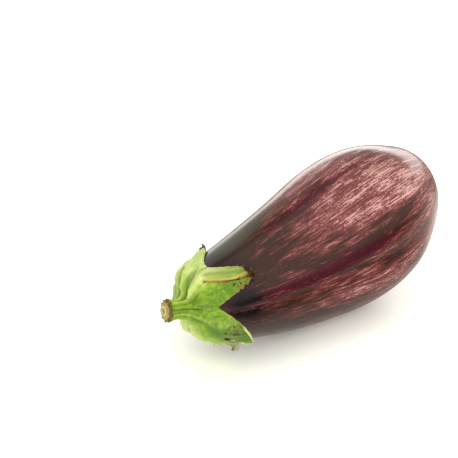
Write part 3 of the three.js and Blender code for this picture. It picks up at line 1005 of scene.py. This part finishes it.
# The table, the lights and the camera
MIDDLE = Vector((0.0, 0.0, 0.045))
LIGHT_COLOUR = (1, 0.985, 0.94)
ROOM_COLOUR = (1, 0.985, 0.95, 1)
ROOM_STRENGTH = 0.8
TABLE_COLOURS = ((0.94, 0.94, 0.89), (0.96, 0.96, 0.91))
TABLE_GLOW = (1, 0.99, 0.92, 1)
TABLE_GLOW_STRENGTH = 0.08
TABLE_SIZE = 8
CAMERA_TARGET = Vector((0.0105, -0.0042, 0.042))
CAMERA_AZIMUTH = -45.46
CAMERA_ELEVATION = 26.73
CAMERA_DISTANCE = 0.7
AIM_TURN = 4.4
AIM_TILT = -1.03
CAMERA_LENS = 96.64
SENSOR_WIDTH = 36
CLIP_START = 0.01


def table_top():
    recipe = Recipe("table_top")
    return recipe.surface(
        Base_Color=recipe.blend(recipe.noise(recipe.place(), 3, detail=1), *TABLE_COLOURS),
        Roughness=0.6,
        Specular_IOR_Level=0.3,
        Emission_Color=TABLE_GLOW,
        Emission_Strength=TABLE_GLOW_STRENGTH,
    )


def flat_card(name, middle, facing, size, material):
    """A flat rectangle at a middle, its front turned to face a point."""
    mesh = bpy.data.meshes.new(name)
    half_x, half_y = size[0] / 2, size[1] / 2
    corners = [(-half_x, -half_y, 0), (half_x, -half_y, 0), (half_x, half_y, 0), (-half_x, half_y, 0)]
    mesh.from_pydata(corners, [], [(0, 1, 2, 3)])
    made = bpy.data.objects.new(name, mesh)
    made.location = middle
    made.rotation_mode = "QUATERNION"
    made.rotation_quaternion = (Vector(facing) - Vector(middle)).to_track_quat("Z", "Y")
    bpy.context.collection.objects.link(made)
    mesh.materials.append(material)
    return made


def direction(azimuth, elevation):
    """The unit vector towards an azimuth, from -Y towards +X, and an elevation, in degrees."""
    a, e = radians(azimuth), radians(elevation)
    return Vector((sin(a) * cos(e), -cos(a) * cos(e), sin(e)))


def softbox(name, azimuth, elevation, distance, size, power, mirrored=True, roll=0):
    """A rectangular light that faces the middle, rolled by some degrees. One that isn't mirrored leaves no
    patch on the glossy skin."""
    light = bpy.data.lights.new(name, "AREA")
    light.shape = "RECTANGLE"
    light.size, light.size_y = size
    light.energy = power
    light.color = LIGHT_COLOUR
    made = bpy.data.objects.new(name, light)
    made.location = direction(azimuth, elevation) * distance + MIDDLE
    made.rotation_mode = "QUATERNION"
    rolled = Quaternion((0, 0, 1), radians(roll))
    made.rotation_quaternion = direction(azimuth, elevation).to_track_quat("Z", "Y") @ rolled
    made.visible_camera = False
    made.visible_glossy = mirrored
    bpy.context.collection.objects.link(made)


def flag(name, middle, facing, size, darkness=1.0):
    """A black card that shows only in reflections, as a gap between lights. It fades towards its edges."""
    recipe = Recipe(name)
    spread = recipe.node("ShaderNodeMapping", {}, {0: recipe.place(), "Scale": (2 / size[0], 2 / size[1], 1)})
    away = recipe.node("ShaderNodeVectorMath", {"operation": "LENGTH"}, {0: spread}, output=1)
    black = recipe.node("ShaderNodeBsdfDiffuse", {}, {"Color": (0, 0, 0, 1)})
    clear = recipe.node("ShaderNodeBsdfTransparent")
    share = (1 - recipe.step(away, 0.1, 1)) * darkness
    mixed = recipe.node("ShaderNodeMixShader", {}, {0: share, 1: clear, 2: black})
    recipe.node("ShaderNodeOutputMaterial", {}, {"Surface": mixed})
    card = flat_card(name, middle, facing, size, recipe.material)
    card.visible_camera = False
    card.visible_diffuse = False
    card.visible_shadow = False


flat_card("table", (0, 0, 0), (0, 0, 1), (TABLE_SIZE, TABLE_SIZE), table_top())
softbox("overhead", -60, 75, 1.6, (2.4, 2.4), 20, mirrored=False)
softbox("front", 0, 30, 1.2, (1.8, 0.9), 10, mirrored=False)
softbox("backdrop", 136, 12.5, 0.32, (0.9, 0.085), 0.78, roll=-18)
flag("front_gap", MIDDLE + direction(28, 1) * 0.36, MIDDLE, (0.6, 0.2))
flag("back_gap", MIDDLE + direction(155, 56) * 0.9, MIDDLE, (1.2, 0.3))
flag("backdrop_fade", direction(138, 0) * 0.3, MIDDLE, (1.5, 0.28), 0.65)
flag("table_front_gap", (0.02, -0.14, 0.002), (0.02, -0.14, 1), (0.6, 0.34))
flag("table_back_gap", (0.22, 0.2, 0.002), (0.22, 0.2, 1), (1.2, 0.8), 0.4)

room = bpy.data.worlds.new("white_room")
room.use_nodes = True
room_light = room.node_tree.nodes["Background"].inputs
room_light["Color"].default_value = ROOM_COLOUR
room_light["Strength"].default_value = ROOM_STRENGTH
bpy.context.scene.world = room
bpy.context.scene.view_settings.view_transform = "Standard"

camera_data = bpy.data.cameras.new("camera")
camera_data.lens = CAMERA_LENS
camera_data.sensor_width = SENSOR_WIDTH
camera_data.clip_start = CLIP_START
camera = bpy.data.objects.new("camera", camera_data)
camera.location = CAMERA_TARGET + direction(CAMERA_AZIMUTH, CAMERA_ELEVATION) * CAMERA_DISTANCE
camera.rotation_mode = "QUATERNION"
aim = direction(CAMERA_AZIMUTH + AIM_TURN, CAMERA_ELEVATION + AIM_TILT)
camera.rotation_quaternion = aim.to_track_quat("Z", "Y")
bpy.context.collection.objects.link(camera)
bpy.context.scene.camera = camera
